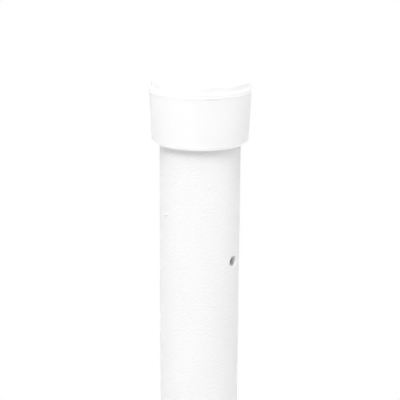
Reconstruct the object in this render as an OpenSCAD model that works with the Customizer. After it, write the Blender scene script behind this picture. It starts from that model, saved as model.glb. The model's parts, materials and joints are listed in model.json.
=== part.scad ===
// Corner post of an electric fence: a hollow plastic tube with cross-drilled rows of wire
// holes, closed by a two-piece moulded cap. A cup is pushed over the end of the tube and a
// lid snaps into the cup. Millimetres, +Z up, ground level at Z = 0, wire holes along X.

/* [Tube] */
// Outer diameter of the tube
tube_d = 63; // [50:0.5:80]
// Wall thickness of the tube
tube_wall = 5; // [3:0.5:8]
// Height of the tube's top end above the ground
tube_h = 1480; // [1200:10:2000]

/* [Wire holes] */
// Diameter of each wire hole
hole_d = 8.8; // [4:0.2:16]
// Number of rows of wire holes
hole_rows = 4; // [1:1:4]
// Distance from the tube's top end down to the highest row
hole_top_drop = 121.4; // [60:0.2:200]
// Distance between rows
hole_pitch = 350; // [150:10:400]

/* [Cup] */
// Length of tube that the skirt covers
grip_h = 28.8; // [15:0.2:40]
// Thickness of the deck that rests on the tube's end
deck_t = 2.5; // [1.5:0.1:4]
// Height of the rim above the deck
well_h = 7.5; // [6:0.1:12]
// Space between the tube and the skirt, which the ribs bridge
skirt_gap = 2.4; // [1.5:0.1:6]
// Thickness of the skirt at its lower edge
skirt_wall = 3.6; // [2.6:0.1:5]
// How much further out the skirt is at its top than at its lower edge
skirt_flare = 1.55; // [0:0.05:3]
// Radius of the skirt's rounded lower edge
skirt_edge_r = 2.6; // [1:0.1:4]
// Draft on the inside of the skirt, as the change of radius up to the deck
skirt_draft = 0.3; // [0:0.1:0.5]
// Height of the upright band round the rim
rim_band_h = 3; // [1:0.5:6]
// Height over which the upright band blends into the tapered skirt
rim_blend_h = 6; // [2:0.5:10]
// Thickness of the rim
rim_wall = 3.45; // [2.5:0.05:5]

/* [Grip ribs] */
// Number of ribs that grip the tube
rib_count = 16; // [6:1:24]
// Thickness of each rib
rib_t = 1.8; // [1:0.1:3]
// Distance from the skirt's lower edge up to the ribs
rib_recess = 2.5; // [1:0.5:8]
// Height of the lead-in at the foot of each rib
rib_lead = 4; // [1:0.5:8]
// Clearance between the ribs and the tube
grip_gap = 0.1; // [0.05:0.05:0.3]

/* [Lid] */
// How far the lip stands out past the cup's rim, on which it rests
lip_over = 0.1; // [0.05:0.05:2]
// Height of the lip
lip_h = 1.2; // [0.6:0.1:2.5]
// Radius of the lip's rounded lower edge
lip_edge_r = 0.2; // [0.1:0.1:0.5]
// How far the flange is set in above the lip
lip_step = 0.2; // [0.05:0.05:1]
// Height of the slope from the lip to the flange
lip_slope_h = 0.6; // [0.2:0.1:1.5]
// Height of the flange, with its lip
flange_h = 3.7; // [2.5:0.1:6]
// How much further in the flange is at its top than above the lip
flange_draft = 0.3; // [0:0.05:1]
// Width of the sloping ledge between flange and disc
ledge_w = 0.6; // [0.2:0.1:3]
// Height of the sloping ledge
ledge_h = 1.7; // [0.5:0.1:3]
// Height of the raised disc
disc_h = 4.6; // [3:0.1:8]
// How much further in the disc is at its top than at the ledge
disc_draft = 0.5; // [0:0.05:1]
// Radius of the disc's top edge
disc_edge_r = 1; // [0.3:0.1:2]
// Thickness of the lid's top
lid_top_t = 2.4; // [1.5:0.1:4]

/* [Snap fit] */
// Thickness of the plug ring that enters the mouth
plug_wall = 2.2; // [1.5:0.1:3]
// Clearance between plug ring and mouth
plug_gap = 0.15; // [0.05:0.05:0.3]
// Space between the end of the plug ring and the deck
plug_foot_gap = 1.8; // [0.5:0.1:3]
// Height of the snap bead
bead_h = 1.6; // [1:0.1:2.5]
// How far the snap bead stands out
bead_out = 0.5; // [0.2:0.05:0.8]
// Distance from the end of the plug ring up to the bead
bead_lift = 1.2; // [0.8:0.1:1.6]

/* [Pry notch] */
// Direction of the notch round the post, from +X towards +Y
notch_turn = -43; // [-180:1:180]
// Width of the notch
notch_w = 8.8; // [4:0.2:20]
// Height of the notch
notch_h = 0.9; // [0.4:0.1:1.2]
// Depth of the notch
notch_depth = 0.6; // [0.4:0.1:2]

/* [Hidden] */
$fn = 96;

tube_white = [0.95, 0.95, 0.95];
cap_white = [0.97, 0.97, 0.97];
arc_steps = 6;          // segments in each rounded edge
past = 1;               // how far a cutter runs past the face it opens
rib_root = 1;           // how deep a rib's root lies in the skirt
edge_land = 0.2;        // flat that a rounded edge leaves on a wall

tube_r = tube_d / 2;
top_hole_z = tube_h - hole_top_drop;

// Cup, with its lower edge at height 0
cup_z = tube_h - grip_h;
socket_r = tube_r + skirt_gap;
socket_top_r = socket_r - skirt_draft;
rib_in_r = tube_r + grip_gap;
well_z = grip_h + deck_t;
cup_h = well_z + well_h;
cup_bottom_r = socket_r + skirt_wall;
cup_top_r = cup_bottom_r + skirt_flare;
mouth_r = cup_top_r - rim_wall;
blend_top_z = cup_h - rim_band_h;
blend_z = blend_top_z - rim_blend_h;
taper = atan(skirt_flare / (blend_z + rim_blend_h / 2));
edge_r = min(skirt_edge_r, skirt_wall - edge_land);
edge_centre_r = cup_bottom_r + edge_r * tan(taper) - edge_r / cos(taper);

// Lid, from the same height 0
lid_z = cup_h;
lip_r = cup_top_r + lip_over;
lip_z = lid_z + lip_h;
flange_r = lip_r - lip_step;
flange_z = lip_z + lip_slope_h;
flange_top_r = flange_r - flange_draft;
disc_r = flange_top_r - ledge_w;
disc_top_r = disc_r - disc_draft;
ledge_z = lid_z + flange_h;
disc_z = ledge_z + ledge_h;
lid_top_z = disc_z + disc_h;
plug_r = mouth_r - plug_gap;
plug_in_r = plug_r - plug_wall;
plug_z = well_z + plug_foot_gap;
bead_z = plug_z + bead_lift;

// Points along an arc, in the plane of radius and height
function arc(cr, cz, r, from, to) =
    [for (i = [0:arc_steps])
        let (a = from + (to - from) * i / arc_steps)
        [cr + r * cos(a), cz + r * sin(a)]];

// The curve that takes the skirt from its taper to the upright band, from below
function rim_blend() =
    let (r = rim_blend_h / sin(taper))
    taper > 0
        ? arc(cup_top_r - r, blend_top_z, r, -taper, 0)
        : [[cup_top_r, blend_top_z]];

// One wire hole, drilled through both walls along X
module wire_hole(z) {
    translate([0, 0, z])
        rotate([0, 90, 0])
            cylinder(h = tube_d + 2 * past, d = hole_d, center = true);
}

module post_tube() {
    color(tube_white)
        difference() {
            cylinder(h = tube_h, r = tube_r);
            translate([0, 0, -past])
                cylinder(h = tube_h + 2 * past, r = tube_r - tube_wall);
            for (i = [0:hole_rows - 1])
                wire_hole(top_hole_z - i * hole_pitch);
        }
}

// The cup in section: up the outside, over the rim, down the mouth and along the deck
module cup_section() {
    groove_low_z = bead_z - plug_gap;
    groove_mid_z = bead_z + bead_h / 2;
    groove_top_z = bead_z + bead_h + plug_gap;
    polygon(concat(
        arc(edge_centre_r, edge_r, edge_r, -90, -taper),
        rim_blend(),
        [[cup_top_r, cup_h], [mouth_r, cup_h]],
        [[mouth_r, groove_top_z], [mouth_r + bead_out, groove_mid_z], [mouth_r, groove_low_z]],
        [[mouth_r, well_z], [0, well_z], [0, grip_h]],
        [[socket_top_r, grip_h], [socket_r, 0]]
    ));
}

// One grip rib, from the skirt's inner wall to the tube, with a lead-in at its foot
module grip_rib() {
    root_r = socket_r + rib_root;
    top_z = grip_h + deck_t / 2;
    rotate([90, 0, 0])
        linear_extrude(height = rib_t, center = true)
            polygon([
                [root_r, rib_recess],
                [socket_top_r, rib_recess],
                [rib_in_r, rib_recess + rib_lead],
                [rib_in_r, top_z],
                [root_r, top_z]
            ]);
}

module cap_cup() {
    color(cap_white)
        translate([0, 0, cup_z]) {
            rotate_extrude()
                cup_section();
            for (i = [0:rib_count - 1])
                rotate([0, 0, 360 * i / rib_count])
                    grip_rib();
        }
}

// The lid in section: up the plug ring, out to the lip, up flange and disc and back inside
module lid_section() {
    in_top_z = lid_top_z - lid_top_t;
    polygon(concat(
        [[plug_in_r, plug_z], [plug_r, plug_z], [plug_r, bead_z]],
        [[plug_r + bead_out, bead_z + bead_h / 2], [plug_r, bead_z + bead_h], [plug_r, lid_z]],
        arc(lip_r - lip_edge_r, lid_z + lip_edge_r, lip_edge_r, -90, 0),
        [[lip_r, lip_z], [flange_r, flange_z], [flange_top_r, ledge_z], [disc_r, disc_z]],
        arc(disc_top_r - disc_edge_r, lid_top_z - disc_edge_r, disc_edge_r, 0, 90),
        [[0, lid_top_z], [0, in_top_z], [plug_in_r, in_top_z]]
    ));
}

// The cutter for the notch that a blade is pushed into to lift the lid
module pry_notch() {
    rotate([0, 0, notch_turn])
        translate([lip_r - notch_depth, -notch_w / 2, lid_z - past])
            cube([notch_depth + past, notch_w, notch_h + past]);
}

module cap_lid() {
    color(cap_white)
        translate([0, 0, cup_z])
            difference() {
                rotate_extrude()
                    lid_section();
                pry_notch();
            }
}

post_tube();
cap_cup();
cap_lid();
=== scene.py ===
import json
import math
import random

import bmesh
import bpy
from mathutils import Matrix, Vector


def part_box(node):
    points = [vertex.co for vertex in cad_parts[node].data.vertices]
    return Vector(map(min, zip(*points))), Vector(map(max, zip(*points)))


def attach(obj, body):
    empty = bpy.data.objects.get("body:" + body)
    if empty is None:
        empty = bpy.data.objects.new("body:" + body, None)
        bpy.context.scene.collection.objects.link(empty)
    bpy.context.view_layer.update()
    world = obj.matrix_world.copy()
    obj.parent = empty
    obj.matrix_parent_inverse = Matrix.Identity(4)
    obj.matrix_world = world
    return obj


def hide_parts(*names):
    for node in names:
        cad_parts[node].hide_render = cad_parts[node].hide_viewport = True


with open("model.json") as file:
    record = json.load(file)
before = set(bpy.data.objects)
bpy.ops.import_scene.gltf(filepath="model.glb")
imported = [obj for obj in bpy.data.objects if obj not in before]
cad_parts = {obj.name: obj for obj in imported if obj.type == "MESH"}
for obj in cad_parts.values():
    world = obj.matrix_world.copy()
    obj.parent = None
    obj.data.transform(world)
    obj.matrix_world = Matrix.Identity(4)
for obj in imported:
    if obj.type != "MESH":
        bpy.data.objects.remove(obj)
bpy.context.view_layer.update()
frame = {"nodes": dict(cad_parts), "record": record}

mm = 0.001
wireHoles = [m for m in frame["record"]["mounts"] if m["kind"] == "bore"]
holeHeights = sorted(m["pos_m"][2] for m in wireHoles)
holeRadius = wireHoles[0]["dims"]["r_mm"] * mm
tubeRadii = [math.hypot(v.co.x, v.co.y) for v in frame["nodes"]["post_tube"].data.vertices]
tubeOuter, tubeInner = max(tubeRadii), min(tubeRadii)
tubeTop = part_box("post_tube")[1].z
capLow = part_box("cap_cup")[0].z
print("frame: tube radii", round(tubeOuter / mm, 2), round(tubeInner / mm, 2), "mm, holes at", holeHeights)


def addNode(tree, kind, inputs=None, **settings):  # a value sets the socket, a socket is linked to it
    node = tree.nodes.new(kind)
    for name, value in settings.items():
        setattr(node, name, value)
    for name, value in (inputs or {}).items():
        if isinstance(value, bpy.types.NodeSocket):
            tree.links.new(value, node.inputs[name])
        else:
            node.inputs[name].default_value = value
    return node


def linear(hexColour):  # sRGB hex to linear RGBA
    parts = [int(hexColour[i:i + 2], 16) / 255 for i in (1, 3, 5)]
    return [c / 12.92 if c <= 0.04045 else ((c + 0.055) / 1.055) ** 2.4 for c in parts] + [1]


def newMaterial(name):
    material = bpy.data.materials.new(name)
    material.use_nodes = True
    material.node_tree.nodes.clear()
    return material, material.node_tree


pvcIor, polypropyleneIor = 1.53, 1.49

pebbledFinish = {  # the hollows are drawn deeper than the real ones, which are too fine to show
    # the first two colours are painted light and shade: each pebble's upper side lighter, its lower side
    # darker
    "litUpperSide": "#ECEBEB", "lower": "#E0E0E1", "grain": 1.4 * mm, "side": 0.35 * mm, "paintedLightLean": 12,
    "depth": 0.3 * mm, "roughness": 0.62, "specular": 0.2,
}


def pebbleHeight(tree, place, paintedLightLean, away):  # the skin's height, read this far up or down the slant along which the painted light falls
    moved = {0: paintedLightLean, 1: (away, away, away), 2: place}
    there = addNode(tree, "ShaderNodeVectorMath", moved, operation="MULTIPLY_ADD").outputs[0]
    pebbles = {"Vector": there, "Scale": 1 / pebbledFinish["grain"], "Detail": 0.0}
    return addNode(tree, "ShaderNodeTexNoise", pebbles).outputs["Fac"]


def leaningUp(tree, place, degrees):  # a unit vector up the wall, leant over round the tube: the way the painted light and shade fall
    angle = math.radians(degrees)
    axis = (0.0, 0.0, -math.sin(angle) / tubeOuter)
    aside = addNode(tree, "ShaderNodeVectorMath", {0: axis, 1: place}, operation="CROSS_PRODUCT").outputs[0]
    rise = (0.0, 0.0, math.cos(angle))
    return addNode(tree, "ShaderNodeVectorMath", {0: aside, 1: rise}, operation="ADD").outputs[0]


def pebbledPvc():  # rigid PVC, embossed by a roller while warm: matt, with soft pebbles 1 to 2 mm wide, and painted light and shade on each pebble
    material, tree = newMaterial("Pebbled white PVC")
    size = pebbledFinish
    place = addNode(tree, "ShaderNodeTexCoord").outputs["Object"]
    paintedLightLean = leaningUp(tree, place, size["paintedLightLean"])  # painted light falls from up the wall, leant slightly round the tube
    height = pebbleHeight(tree, place, paintedLightLean, 0.0)
    bump = addNode(tree, "ShaderNodeBump", {"Height": height, "Distance": size["depth"]})
    below, above = (pebbleHeight(tree, place, paintedLightLean, away) for away in (-size["side"], size["side"]))
    slope = addNode(tree, "ShaderNodeMath", {0: below, 1: above}, operation="SUBTRACT")
    share = addNode(tree, "ShaderNodeMath", {0: slope.outputs[0], 1: 0.5}, operation="ADD")
    ends = {"Factor": share.outputs[0], "A": linear(size["lower"]), "B": linear(size["litUpperSide"])}
    tint = addNode(tree, "ShaderNodeMix", ends, data_type="RGBA")  # painted light and shade: each pebble lighter where it faces up, darker where it faces down
    shader = addNode(tree, "ShaderNodeBsdfPrincipled", {
        "Base Color": tint.outputs["Result"], "Normal": bump.outputs["Normal"],
        "Roughness": size["roughness"], "IOR": pvcIor, "Specular IOR Level": size["specular"]})
    addNode(tree, "ShaderNodeOutputMaterial", {"Surface": shader.outputs[0]})
    return material


mouldedFinish = {  # the lines are drawn wider apart than the real ones, which are too fine to show
    # the two colours are painted shade on the rings: lighter where they are raised, darker where they are
    # low
    "light": "#E9E8E9", "dark": "#E5E5E5", "line": 1.2 * mm, "depth": 0.02 * mm,
    "roughness": 0.42, "specular": 0.35,
}


def mouldedPolypropylene():  # moulded in a turned steel mould: satin, with lines round it that hardly show, their low parts darkened by painted shade
    material, tree = newMaterial("Moulded white polypropylene")
    size = mouldedFinish
    place = addNode(tree, "ShaderNodeTexCoord").outputs["Object"]
    axes = addNode(tree, "ShaderNodeSeparateXYZ", {"Vector": place})
    flat = addNode(tree, "ShaderNodeCombineXYZ", {"X": axes.outputs["X"], "Y": axes.outputs["Y"]})
    radius = addNode(tree, "ShaderNodeVectorMath", {0: flat.outputs[0]}, operation="LENGTH")
    ring = addNode(tree, "ShaderNodeCombineXYZ", {"X": radius.outputs["Value"], "Z": axes.outputs["Z"]})
    grid = {"Vector": ring.outputs[0], "Scale": 1 / size["line"], "Detail": 1.0}
    lines = addNode(tree, "ShaderNodeTexNoise", grid)
    bump = addNode(tree, "ShaderNodeBump", {"Height": lines.outputs["Fac"], "Distance": size["depth"]})
    # painted shade: the rings' tint follows their height, darker in the low parts
    ends = {"Factor": lines.outputs["Fac"], "A": linear(size["dark"]), "B": linear(size["light"])}
    tint = addNode(tree, "ShaderNodeMix", ends, data_type="RGBA")
    shader = addNode(tree, "ShaderNodeBsdfPrincipled", {
        "Base Color": tint.outputs["Result"], "Normal": bump.outputs["Normal"],
        "Roughness": size["roughness"], "IOR": polypropyleneIor, "Specular IOR Level": size["specular"]})
    addNode(tree, "ShaderNodeOutputMaterial", {"Surface": shader.outputs[0]})
    return material


drilledFinish = {
    "colour": "#F0F0F0", "feed": 0.35 * mm, "depth": 0.02 * mm, "roughness": 0.45, "specular": 0.3,
}


def drilledPvc():  # PVC where a drill or a saw has cut it: paler, no pebbles, fine rings of the cut
    material, tree = newMaterial("Drilled white PVC")
    size = drilledFinish
    place = addNode(tree, "ShaderNodeTexCoord").outputs["Object"]
    axes = addNode(tree, "ShaderNodeSeparateXYZ", {"Vector": place})
    along = addNode(tree, "ShaderNodeCombineXYZ", {"X": axes.outputs["X"]})
    turns = {"Vector": along.outputs[0], "Scale": 1 / size["feed"], "Detail": 1.0}
    rings = addNode(tree, "ShaderNodeTexNoise", turns)
    bump = addNode(tree, "ShaderNodeBump", {"Height": rings.outputs["Fac"], "Distance": size["depth"]})
    shader = addNode(tree, "ShaderNodeBsdfPrincipled", {
        "Base Color": linear(size["colour"]), "Normal": bump.outputs["Normal"],
        "Roughness": size["roughness"], "IOR": pvcIor, "Specular IOR Level": size["specular"]})
    addNode(tree, "ShaderNodeOutputMaterial", {"Surface": shader.outputs[0]})
    return material


extrudedFinish = {
    "colour": "#D8D8D8", "streak": 1.2 * mm, "stretch": 0.02, "depth": 0.03 * mm,
    "roughness": 0.5, "specular": 0.3,
}


def extrudedPvc():  # the wall inside the tube, as it left the die: smooth, with faint lines along it
    material, tree = newMaterial("Extruded white PVC")
    size = extrudedFinish
    place = addNode(tree, "ShaderNodeTexCoord").outputs["Object"]
    drawn = addNode(tree, "ShaderNodeMapping", {"Vector": place, "Scale": (1, 1, size["stretch"])})
    across = {"Vector": drawn.outputs[0], "Scale": 1 / size["streak"], "Detail": 1.0}
    streaks = addNode(tree, "ShaderNodeTexNoise", across)
    bump = addNode(tree, "ShaderNodeBump", {"Height": streaks.outputs["Fac"], "Distance": size["depth"]})
    shader = addNode(tree, "ShaderNodeBsdfPrincipled", {
        "Base Color": linear(size["colour"]), "Normal": bump.outputs["Normal"],
        "Roughness": size["roughness"], "IOR": pvcIor, "Specular IOR Level": size["specular"]})
    addNode(tree, "ShaderNodeOutputMaterial", {"Surface": shader.outputs[0]})
    return material


flawFinish = {  # the two limits say how far the surface has to turn up to be painted fully in shade or fully lit
    "paintedLight": "#FCFCFC", "paintedShade": "#BEBEBE", "speck": 0.6 * mm, "paintedShadeAt": -0.2, "paintedLightAt": 0.6,
    "roughness": 0.7, "specular": 0.1,
}


def paintedShadingPvc():  # PVC where a flaw in the roller left a nib: painted light where it faces up, painted shade where it faces down, broken up by noise
    material, tree = newMaterial("White PVC with painted light and shade")
    size = flawFinish
    own = addNode(tree, "ShaderNodeTexCoord").outputs
    up = addNode(tree, "ShaderNodeSeparateXYZ", {"Vector": own["Normal"]}).outputs["Z"]
    speck = {"Vector": own["Object"], "Scale": 1 / size["speck"], "Detail": 1.0}
    uneven = addNode(tree, "ShaderNodeTexNoise", speck).outputs["Fac"]
    # painted light and shade: lighter the more the surface faces up, darker the more it faces down
    turned = addNode(tree, "ShaderNodeMath", {0: uneven, 1: 0.5, 2: up}, operation="MULTIPLY_ADD").outputs[0]
    limits = {"Value": turned, "From Min": size["paintedShadeAt"], "From Max": size["paintedLightAt"]}
    share = addNode(tree, "ShaderNodeMapRange", limits)
    ends = {"Factor": share.outputs["Result"], "A": linear(size["paintedShade"]), "B": linear(size["paintedLight"])}
    tint = addNode(tree, "ShaderNodeMix", ends, data_type="RGBA")
    shader = addNode(tree, "ShaderNodeBsdfPrincipled", {
        "Base Color": tint.outputs["Result"], "Roughness": size["roughness"], "IOR": pvcIor,
        "Specular IOR Level": size["specular"]})
    addNode(tree, "ShaderNodeOutputMaterial", {"Surface": shader.outputs[0]})
    return material


skinMaterial, cutMaterial, boreMaterial, flawMaterial = pebbledPvc(), drilledPvc(), extrudedPvc(), paintedShadingPvc()
capMaterial = mouldedPolypropylene()
for name in ("cap_cup", "cap_lid"):
    for slot in frame["nodes"][name].material_slots:
        slot.material = capMaterial
print("materials: pebbled, drilled, extruded, dusty and moulded")

tube = {
    "columns": 160, "holeCells": 6, "fillRows": 8, "innerFillRows": 40,
    "mouthRound": 0.5 * mm, "innerRound": 0.25 * mm, "endRound": 0.6 * mm, "endLand": 0.5 * mm,
    "arcSteps": 4, "boreRings": 5, "blends": (0.35, 0.7),
    "supportRing": 1.5, "endClear": 2,  # in roundings: the last ring round a mouth, the bare wall at an end
}
skinFinish, cutFinish, boreFinish = 0, 1, 2  # the tube's material slots

columnTurn = 2 * math.pi / tube["columns"]
holePitch = holeHeights[1] - holeHeights[0]
cell = holePitch / round(holePitch / (tubeOuter * columnTurn))  # row height, close to a column's width
endClear = tube["endClear"] * tube["endRound"]  # no row of the grid comes closer to an end
lowRow = math.ceil((endClear - holeHeights[0]) / cell)
highRow = math.floor((tubeTop - endClear - holeHeights[0]) / cell)


def rowAt(height):
    return round((height - holeHeights[0]) / cell)


def rowHeight(row):  # the rows past the last ones are the ends of the straight wall
    if row < lowRow:
        return tube["endRound"]
    if row > highRow:
        return tubeTop - tube["endRound"]
    return holeHeights[0] + row * cell


def holePatches():
    places = [(c, rowAt(z)) for z in holeHeights for c in (0, tube["columns"] // 2)]
    return [{"column": c, "row": r, "cells": tube["holeCells"]} for c, r in places]


def covers(patch, column, low, high):
    inColumns = (column - patch["column"] + patch["cells"]) % tube["columns"] < 2 * patch["cells"]
    return inColumns and patch["row"] - patch["cells"] <= low and high <= patch["row"] + patch["cells"]


def addRing(mesh, radius, height, turns):
    return [mesh.verts.new((radius * math.cos(a), radius * math.sin(a), height)) for a in turns]


def addWall(mesh, radius, fill, patches, finish):  # a round wall of cells, left open at the patches
    rows = set(range(lowRow, highRow + 1, fill)) | {lowRow - 1, highRow + 1}
    for patch in patches:
        rows |= set(range(patch["row"] - patch["cells"], patch["row"] + patch["cells"] + 1))
    rows = sorted(rows)
    turns = [c * columnTurn for c in range(tube["columns"])]
    grid = {r: addRing(mesh, radius, rowHeight(r), turns) for r in rows}
    for low, high in zip(rows, rows[1:]):
        near = [p for p in patches if abs(p["row"] - low) <= p["cells"]]
        for c in range(tube["columns"]):
            if not any(covers(p, c, low, high) for p in near):
                n = (c + 1) % tube["columns"]
                face = mesh.faces.new((grid[low][c], grid[low][n], grid[high][n], grid[high][c]))
                face.material_index = finish
    return grid


def squareSteps(half):  # steps round a patch's edge, from its right-hand middle and upwards
    right, top = [(half, j) for j in range(half)], [(i, half) for i in range(half, -half, -1)]
    left, bottom = [(-half, j) for j in range(half, -half, -1)], [(i, -half) for i in range(-half, half)]
    return right + top + left + bottom + [(half, j) for j in range(-half, 0)]


def onWall(radius, patch, across, rise):  # a point off the patch's middle, measured square on
    out = math.sqrt(radius ** 2 - across ** 2)
    turn = Matrix.Rotation(patch["column"] * columnTurn, 3, "Z")
    return turn @ Vector((out, across, rowHeight(patch["row"]) + rise))


def circleOnWall(mesh, radius, patch, size, turns):
    return [mesh.verts.new(onWall(radius, patch, size * math.cos(a), size * math.sin(a))) for a in turns]


def patchRings(mesh, grid, radius, patch, profile):  # rings from the open edge to a circle, then the profile
    steps = squareSteps(patch["cells"])
    edge = [grid[patch["row"] + j][(patch["column"] + i) % tube["columns"]] for i, j in steps]
    square = [(radius * math.sin(i * columnTurn), j * cell) for i, j in steps]
    turns = [2 * math.pi * k / len(steps) for k in range(len(steps))]
    first = profile[0][0]
    rings = [edge]
    for share in tube["blends"]:
        ring = []
        for (u, v), a in zip(square, turns):
            across, rise = u + (first * math.cos(a) - u) * share, v + (first * math.sin(a) - v) * share
            ring.append(mesh.verts.new(onWall(radius, patch, across, rise)))
        rings.append(ring)
    return rings + [circleOnWall(mesh, radius + lift, patch, size, turns) for size, lift in profile]


def joinRings(mesh, rings, finish):
    for a, b in zip(rings, rings[1:]):
        for k in range(len(a)):
            n = (k + 1) % len(a)
            mesh.faces.new((a[k], a[n], b[n], b[k])).material_index = finish


def mouthProfile(rounding, inward):  # from a support ring over the rounded mouth into the bore
    arcs = [math.pi / 2 * k / tube["arcSteps"] for k in range(tube["arcSteps"] + 1)]
    rounded = [(rounding * (1 - math.sin(a)), rounding * (1 - math.cos(a))) for a in arcs]
    support = holeRadius + tube["supportRing"] * rounding
    return [(support, 0.0)] + [(holeRadius + u, inward * v) for u, v in rounded]


def addHole(mesh, outerGrid, innerGrid, patch):
    outer = patchRings(mesh, outerGrid, tubeOuter, patch, mouthProfile(tube["mouthRound"], -1))
    inner = patchRings(mesh, innerGrid, tubeInner, patch, mouthProfile(tube["innerRound"], 1))
    support = 1 + len(tube["blends"])  # from this ring on the drill has cut the wall
    joinRings(mesh, outer[:support + 1], skinFinish)
    joinRings(mesh, outer[support:], cutFinish)
    joinRings(mesh, inner[:support + 1], boreFinish)
    joinRings(mesh, inner[support:], cutFinish)
    high, low = tubeOuter - tube["mouthRound"], tubeInner + tube["innerRound"]
    depths = [high + (low - high) * k / tube["boreRings"] for k in range(1, tube["boreRings"])]
    turns = [2 * math.pi * k / len(outer[0]) for k in range(len(outer[0]))]
    bore = [circleOnWall(mesh, d, patch, holeRadius, turns) for d in depths]
    joinRings(mesh, [outer[-1]] + bore + [inner[-1]], cutFinish)


def addEnd(mesh, outerRow, innerRow, height, inward):  # a sawn end with both edges slightly rounded
    size, land = tube["endRound"], tube["endLand"]
    arcs = [math.pi / 2 * k / tube["arcSteps"] for k in range(1, tube["arcSteps"] + 1)]
    rounded = [(size * (1 - math.cos(a)), height + inward * size * (1 - math.sin(a))) for a in arcs]
    outer = [(tubeOuter - u, z) for u, z in rounded]
    inner = [(tubeInner + u, z) for u, z in rounded]
    lands = [(tubeOuter - size - land, height), (tubeInner + size + land, height)]
    turns = [c * columnTurn for c in range(tube["columns"])]
    rings = [addRing(mesh, radius, z, turns) for radius, z in outer + lands + inner[::-1]]
    joinRings(mesh, [outerRow] + rings + [innerRow], cutFinish)


def makePiece(name, mesh, materials):
    for material in materials:
        mesh.materials.append(material)
    piece = bpy.data.objects.new(name, mesh)
    bpy.context.scene.collection.objects.link(piece)
    return piece


def buildTube():
    holes = holePatches()
    mesh = bmesh.new()
    outerGrid = addWall(mesh, tubeOuter, tube["fillRows"], holes, skinFinish)
    innerGrid = addWall(mesh, tubeInner, tube["innerFillRows"], holes, boreFinish)
    for patch in holes:
        addHole(mesh, outerGrid, innerGrid, patch)
    addEnd(mesh, outerGrid[lowRow - 1], innerGrid[lowRow - 1], 0.0, 1)
    addEnd(mesh, outerGrid[highRow + 1], innerGrid[highRow + 1], tubeTop, -1)
    bmesh.ops.recalc_face_normals(mesh, faces=mesh.faces)
    for face in mesh.faces:
        face.smooth = True
    made = bpy.data.meshes.new("postTube")
    mesh.to_mesh(made)
    mesh.free()
    piece = makePiece("postTube", made, (skinMaterial, cutMaterial, boreMaterial))
    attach(piece, "root")
    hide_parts("post_tube")
    print("tube:", len(made.polygons), "faces,", len(holes), "hole mouths")


buildTube()

burrs = {
    "width": 0.5 * mm, "proud": 0.05 * mm, "ragged": 0.1 * mm, "ragPitch": 1.2 * mm,
    "steps": 64, "section": 8, "outset": 0.25,  # outset past the rounded mouth is a share of the width
}
nibs = {
    "seen": (  # turn from the top hole's mouth, height, width
        (-111.9, 1396.3 * mm, 2.2 * mm),
        (-100.5, 1368.1 * mm, 1.3 * mm),
        (-43.5, 1421.5 * mm, 1.2 * mm),
    ),
    "others": 8, "seed": 4, "narrowest": 0.8 * mm, "widest": 1.4 * mm,
    "lowest": 50 * mm, "highest": tubeTop - 280 * mm, "holeClear": 25 * mm, "uneven": 0.15, "sides": 3,
}


def newGrowth(name, lengths, counts=()):  # an empty geometry tree with named inputs
    tree = bpy.data.node_groups.new(name, "GeometryNodeTree")
    tree.interface.new_socket("Geometry", in_out="OUTPUT", socket_type="NodeSocketGeometry")
    tree.interface.new_socket("Geometry", in_out="INPUT", socket_type="NodeSocketGeometry")
    for title in lengths:
        tree.interface.new_socket(title, in_out="INPUT", socket_type="NodeSocketFloat")
    for title in counts:
        tree.interface.new_socket(title, in_out="INPUT", socket_type="NodeSocketInt")
    tree.interface.new_socket("Material", in_out="INPUT", socket_type="NodeSocketMaterial")
    return tree, tree.nodes.new("NodeGroupInput").outputs


def endGrowth(tree, instances, given, bend):  # real mesh from the instances, bent, with its finish
    real = addNode(tree, "GeometryNodeRealizeInstances", {"Geometry": instances})
    placed = addNode(tree, "GeometryNodeSetPosition", {"Geometry": real.outputs[0], **bend})
    smooth = addNode(tree, "GeometryNodeSetShadeSmooth", {"Geometry": placed.outputs[0]})
    finish = addNode(tree, "GeometryNodeSetMaterial", {
        "Geometry": smooth.outputs[0], "Material": given["Material"]})
    addNode(tree, "NodeGroupOutput", {"Geometry": finish.outputs[0]})


def growPiece(name, points, tree, values, widths=()):  # a plain mesh, grown by the tree from the points
    start = bpy.data.meshes.new(name)
    start.from_pydata(points, [], [])
    if widths:
        start.attributes.new("width", "FLOAT", "POINT").data.foreach_set("value", widths)
    piece = makePiece(name, start, ())
    growth = piece.modifiers.new("growth", "NODES")
    growth.node_group = tree
    for socket in tree.interface.items_tree:
        if socket.name in values:
            growth[socket.identifier] = values[socket.name]
    grown = piece.evaluated_get(bpy.context.evaluated_depsgraph_get())
    made = bpy.data.meshes.new_from_object(grown)
    piece.modifiers.remove(growth)
    piece.data = made
    bpy.data.meshes.remove(start)
    made.materials.clear()
    made.materials.append(values["Material"])
    made.polygons.foreach_set("material_index", [0] * len(made.polygons))
    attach(piece, "root")
    print(name + ":", len(made.polygons), "faces")


def unevenPush(tree, pitch, amount):  # a push that wanders in every direction, over a length of pitch
    scale = addNode(tree, "ShaderNodeMath", {0: 1.0, 1: pitch}, operation="DIVIDE").outputs[0]
    noise = addNode(tree, "ShaderNodeTexNoise", {"Scale": scale, "Detail": 1.0}).outputs["Color"]
    centred = addNode(tree, "ShaderNodeVectorMath", {0: noise, 1: (0.5, 0.5, 0.5)}, operation="SUBTRACT")
    push = addNode(tree, "ShaderNodeVectorMath", {0: centred.outputs[0], "Scale": amount}, operation="SCALE")
    return push.outputs[0]


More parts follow.
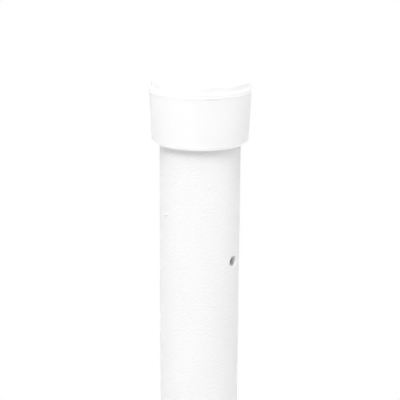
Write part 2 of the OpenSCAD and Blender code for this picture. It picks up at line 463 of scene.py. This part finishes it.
def burrTree():  # a ragged ring, flat in X, on each point, then laid on the round of the tube
    lengths = ("Ring Radius", "Section Radius", "Ragged", "Rag Pitch")
    tree, given = newGrowth("Drill burrs", lengths, ("Steps", "Section"))
    path = addNode(tree, "GeometryNodeCurvePrimitiveCircle", {
        "Resolution": given["Steps"], "Radius": given["Ring Radius"]})
    section = addNode(tree, "GeometryNodeCurvePrimitiveCircle", {
        "Resolution": given["Section"], "Radius": given["Section Radius"]})
    ring = addNode(tree, "GeometryNodeCurveToMesh", {
        "Curve": path.outputs[0], "Profile Curve": section.outputs[0]})
    upright = addNode(tree, "GeometryNodeTransform", {
        "Geometry": ring.outputs[0], "Rotation": (0.0, math.pi / 2, 0.0)})
    spread = addNode(tree, "GeometryNodeInstanceOnPoints", {
        "Points": given["Geometry"], "Instance": upright.outputs[0]})
    place = addNode(tree, "GeometryNodeInputPosition").outputs[0]
    ragged = unevenPush(tree, given["Rag Pitch"], given["Ragged"])
    moved = addNode(tree, "ShaderNodeVectorMath", {0: place, 1: ragged}, operation="ADD").outputs[0]
    x, y, z = addNode(tree, "ShaderNodeSeparateXYZ", {"Vector": moved}).outputs
    farther = addNode(tree, "ShaderNodeMath", {0: x, 1: x}, operation="MULTIPLY").outputs[0]
    nearer = addNode(tree, "ShaderNodeMath", {0: y, 1: y}, operation="MULTIPLY").outputs[0]
    drop = addNode(tree, "ShaderNodeMath", {0: farther, 1: nearer}, operation="SUBTRACT").outputs[0]
    out = addNode(tree, "ShaderNodeMath", {0: drop}, operation="SQRT").outputs[0]
    side = addNode(tree, "ShaderNodeMath", {0: x}, operation="SIGN").outputs[0]
    across = addNode(tree, "ShaderNodeMath", {0: out, 1: side}, operation="MULTIPLY").outputs[0]
    laid = addNode(tree, "ShaderNodeCombineXYZ", {"X": across, "Y": y, "Z": z})
    endGrowth(tree, spread.outputs[0], given, {"Position": laid.outputs[0]})
    return tree


def nibTree():  # a small uneven blob on each point, as wide as the point says, half sunk in the skin
    tree, given = newGrowth("Moulding nibs", ("Uneven",), ("Sides",))
    blob = addNode(tree, "GeometryNodeMeshIcoSphere", {"Radius": 0.5, "Subdivisions": given["Sides"]})
    width = addNode(tree, "GeometryNodeInputNamedAttribute", {"Name": "width"}, data_type="FLOAT")
    uneven = unevenPush(tree, 1.0, given["Uneven"])  # over the blob's own width
    bumpy = addNode(tree, "GeometryNodeSetPosition", {"Geometry": blob.outputs[0], "Offset": uneven})
    spread = addNode(tree, "GeometryNodeInstanceOnPoints", {
        "Points": given["Geometry"], "Instance": bumpy.outputs[0], "Scale": width.outputs[0]})
    endGrowth(tree, spread.outputs[0], given, {})
    return tree


def buildBurrs():
    sunk = tubeOuter - burrs["width"] / 2 + burrs["proud"]
    points = [(side * sunk, 0.0, z) for z in holeHeights for side in (-1, 1)]
    growPiece("drillBurrs", points, burrTree(), {
        "Ring Radius": holeRadius + tube["mouthRound"] + burrs["width"] * burrs["outset"],
        "Section Radius": burrs["width"] / 2, "Ragged": burrs["ragged"], "Rag Pitch": burrs["ragPitch"],
        "Steps": burrs["steps"], "Section": burrs["section"], "Material": cutMaterial})


def buildNibs():
    chance = random.Random(nibs["seed"])
    places = list(nibs["seen"])
    while len(places) < len(nibs["seen"]) + nibs["others"]:
        turn, height = chance.uniform(-180, 180), chance.uniform(nibs["lowest"], nibs["highest"])
        if all(abs(height - z) > nibs["holeClear"] for z in holeHeights):
            places.append((turn, height, chance.uniform(nibs["narrowest"], nibs["widest"])))
    turns = [math.radians(turn) for turn, height, width in places]
    points = [(tubeOuter * math.cos(a), tubeOuter * math.sin(a), p[1]) for a, p in zip(turns, places)]
    widths = [width for turn, height, width in places]
    growPiece("mouldNibs", points, nibTree(), {
        "Uneven": nibs["uneven"], "Sides": nibs["sides"], "Material": flawMaterial}, widths)


buildBurrs()
buildNibs()

stage = {
    "floorHalf": 40.0, "floorDrop": 0.2 * mm, "paper": "#EDEDED",
    "glow": 0.565, "glowFrom": 0.5, "glowTo": 2.5,
    "sweepFrom": 0.9, "sweepTo": 2.6, "sweepLift": 2 * mm, "sweepRadius": 30.0, "sweepSteps": 64,
}
tent = {0: 0.38, 12: 0.0, 25: 0.0, 42: 0.56, 62: 0.1}  # the room's brightness at each rise in degrees


def farShare(tree, near, far, most):  # nothing up to near, then rising smoothly to most at far from the post
    place = addNode(tree, "ShaderNodeTexCoord").outputs["Object"]
    away = addNode(tree, "ShaderNodeVectorMath", {0: place}, operation="LENGTH").outputs["Value"]
    limits = {"Value": away, "From Min": near, "From Max": far, "To Min": 0.0, "To Max": most}
    return addNode(tree, "ShaderNodeMapRange", limits, interpolation_type="SMOOTHSTEP").outputs["Result"]


def paleFloor():  # matt white paper that lightens with distance from the post
    material, tree = newMaterial("Pale studio paper")
    shader = addNode(tree, "ShaderNodeBsdfPrincipled", {
        "Base Color": linear(stage["paper"]), "Roughness": 1.0, "Specular IOR Level": 0.0,
        "Emission Color": linear("#FFFFFF"),
        "Emission Strength": farShare(tree, stage["glowFrom"], stage["glowTo"], stage["glow"])})
    addNode(tree, "ShaderNodeOutputMaterial", {"Surface": shader.outputs[0]})
    return material


def whiteSweep():  # plain white that fades in over the floor, for the background alone
    material, tree = newMaterial("White studio sweep")
    clear = addNode(tree, "ShaderNodeBsdfTransparent")
    white = addNode(tree, "ShaderNodeEmission", {"Color": linear("#FFFFFF"), "Strength": 1.0})
    share = farShare(tree, stage["sweepFrom"], stage["sweepTo"], 1.0)
    mixed = addNode(tree, "ShaderNodeMixShader", {0: share, 1: clear.outputs[0], 2: white.outputs[0]})
    addNode(tree, "ShaderNodeOutputMaterial", {"Surface": mixed.outputs[0]})
    return material


def buildSweep():  # a flat ring that turns up into a dome round everything, which lights nothing
    radius, steps = stage["sweepRadius"], stage["sweepSteps"]
    rises = [math.pi / 2 * k / steps for k in range(steps)]
    outline = [(stage["sweepFrom"], 0.0)] + [(radius * math.cos(a), radius * math.sin(a)) for a in rises]
    turns = [2 * math.pi * k / steps for k in range(steps)]
    mesh = bmesh.new()
    rings = [[mesh.verts.new((r * math.cos(a), r * math.sin(a), z + stage["sweepLift"])) for a in turns]
             for r, z in outline]
    for low, high in zip(rings, rings[1:]):
        for k in range(steps):
            n = (k + 1) % steps
            mesh.faces.new((low[k], low[n], high[n], high[k]))
    mesh.faces.new(rings[-1])
    made = bpy.data.meshes.new("studioSweep")
    mesh.to_mesh(made)
    mesh.free()
    sweep = makePiece("studioSweep", made, [whiteSweep()])
    sweep.visible_diffuse = sweep.visible_glossy = False
    sweep.visible_transmission = sweep.visible_shadow = False


def buildFloor():
    half, drop = stage["floorHalf"], stage["floorDrop"]
    mesh = bpy.data.meshes.new("studioFloor")
    corners = [(-half, -half, -drop), (half, -half, -drop), (half, half, -drop), (-half, half, -drop)]
    mesh.from_pydata(corners, [], [(0, 1, 2, 3)])
    makePiece("studioFloor", mesh, [paleFloor()])


def setWorld():  # white all round at eye level, dimmer above, where the softboxes take over
    world = bpy.data.worlds.new("Soft white tent")
    world.use_nodes = True
    tree = world.node_tree
    tree.nodes.clear()
    around = addNode(tree, "ShaderNodeTexCoord").outputs["Generated"]
    axes = addNode(tree, "ShaderNodeSeparateXYZ", {"Vector": around})
    rise = addNode(tree, "ShaderNodeMath", {0: axes.outputs["Z"]}, operation="ARCSINE")
    share = addNode(tree, "ShaderNodeMapRange", {"Value": rise.outputs[0], "From Max": math.pi / 2})
    ramp = addNode(tree, "ShaderNodeValToRGB", {"Fac": share.outputs["Result"]})
    stops = ramp.color_ramp.elements
    stops[0].color = (tent[0], tent[0], tent[0], 1)
    stops[-1].color = (0, 0, 0, 1)
    for degrees in list(tent)[1:]:
        stops.new(degrees / 90).color = (tent[degrees], tent[degrees], tent[degrees], 1)
    glow = addNode(tree, "ShaderNodeBackground", {"Color": ramp.outputs["Color"], "Strength": 1.0})
    addNode(tree, "ShaderNodeOutputWorld", {"Surface": glow.outputs[0]})
    bpy.context.scene.world = world


view = {
    "azimuth": 32.7, "back": 910.3 * mm, "up": 200.45 * mm,
    "pitch": 15.249, "roll": 0.32, "yaw": 0.005, "lens": 107.85, "sensor": 36,
}
softboxes = {"spread": 0.4, "aim": capLow - 100 * mm}  # width as a share of the distance
softLights = [  # turn is to the camera's right, level how white the light alone makes a card
    {"name": "keyLeft", "turn": -30, "rise": 50, "far": 4.0, "level": 0.33},
    {"name": "keyFront", "turn": 0, "rise": 50, "far": 4.0, "level": 0.345},
    {"name": "overhead", "turn": 0, "rise": 70, "far": 4.0, "level": 0.285},
    {"name": "sideLeft", "turn": -90, "rise": 50, "far": 1.5, "level": 0.125},
    {"name": "sideRight", "turn": 90, "rise": 30, "far": 1.2, "level": 0.185},
    {"name": "backLeft", "turn": -150, "rise": 70, "far": 4.0, "level": 0.87},
    {"name": "backRight", "turn": 150, "rise": 70, "far": 4.0, "level": 0.8},
]


def fromView(turn, rise, distance):  # a place round the cap: turn is to the right of the camera
    a, e = math.radians(view["azimuth"] + turn), math.radians(rise)
    return Vector((math.sin(a) * math.cos(e), -math.cos(a) * math.cos(e), math.sin(e))) * distance


def addLights():
    target = Vector((0, 0, softboxes["aim"]))
    for size in softLights:
        data = bpy.data.lights.new(size["name"], "AREA")
        data.shape, data.size = "DISK", softboxes["spread"] * size["far"]
        data.energy = size["level"] * (math.pi * size["far"]) ** 2
        light = bpy.data.objects.new(size["name"], data)
        offset = fromView(size["turn"], size["rise"], size["far"])
        light.location = target + offset
        light.rotation_euler = (-offset).to_track_quat("-Z", "Y").to_euler()
        bpy.context.scene.collection.objects.link(light)


def addCamera():
    pitch, roll, yaw = (math.radians(view[k]) for k in ("pitch", "roll", "yaw"))
    forward = Vector((math.sin(yaw) * math.cos(pitch), math.cos(yaw) * math.cos(pitch), -math.sin(pitch)))
    right = forward.cross(Vector((0, 0, 1))).normalized()
    up = right.cross(forward)
    tiltedRight = math.cos(roll) * right + math.sin(roll) * up
    tiltedUp = math.cos(roll) * up - math.sin(roll) * right
    turn = Matrix.Rotation(math.radians(view["azimuth"]), 3, "Z")
    data = bpy.data.cameras.new("camera")
    data.lens, data.sensor_width = view["lens"], view["sensor"]
    camera = bpy.data.objects.new("camera", data)
    place = turn @ Vector((0, -view["back"], capLow + view["up"]))
    axes = Matrix([turn @ tiltedRight, turn @ tiltedUp, turn @ -forward]).transposed()
    camera.matrix_world = Matrix.Translation(place) @ axes.to_4x4()
    bpy.context.scene.collection.objects.link(camera)
    bpy.context.scene.camera = camera


buildFloor()
buildSweep()
setWorld()
addLights()
addCamera()
bpy.context.scene.view_settings.view_transform = "Standard"
bpy.context.scene.view_settings.look = "None"
print("stage: floor, sweep, room,", len(softLights), "soft lights and camera")

bpy.context.view_layer.update()
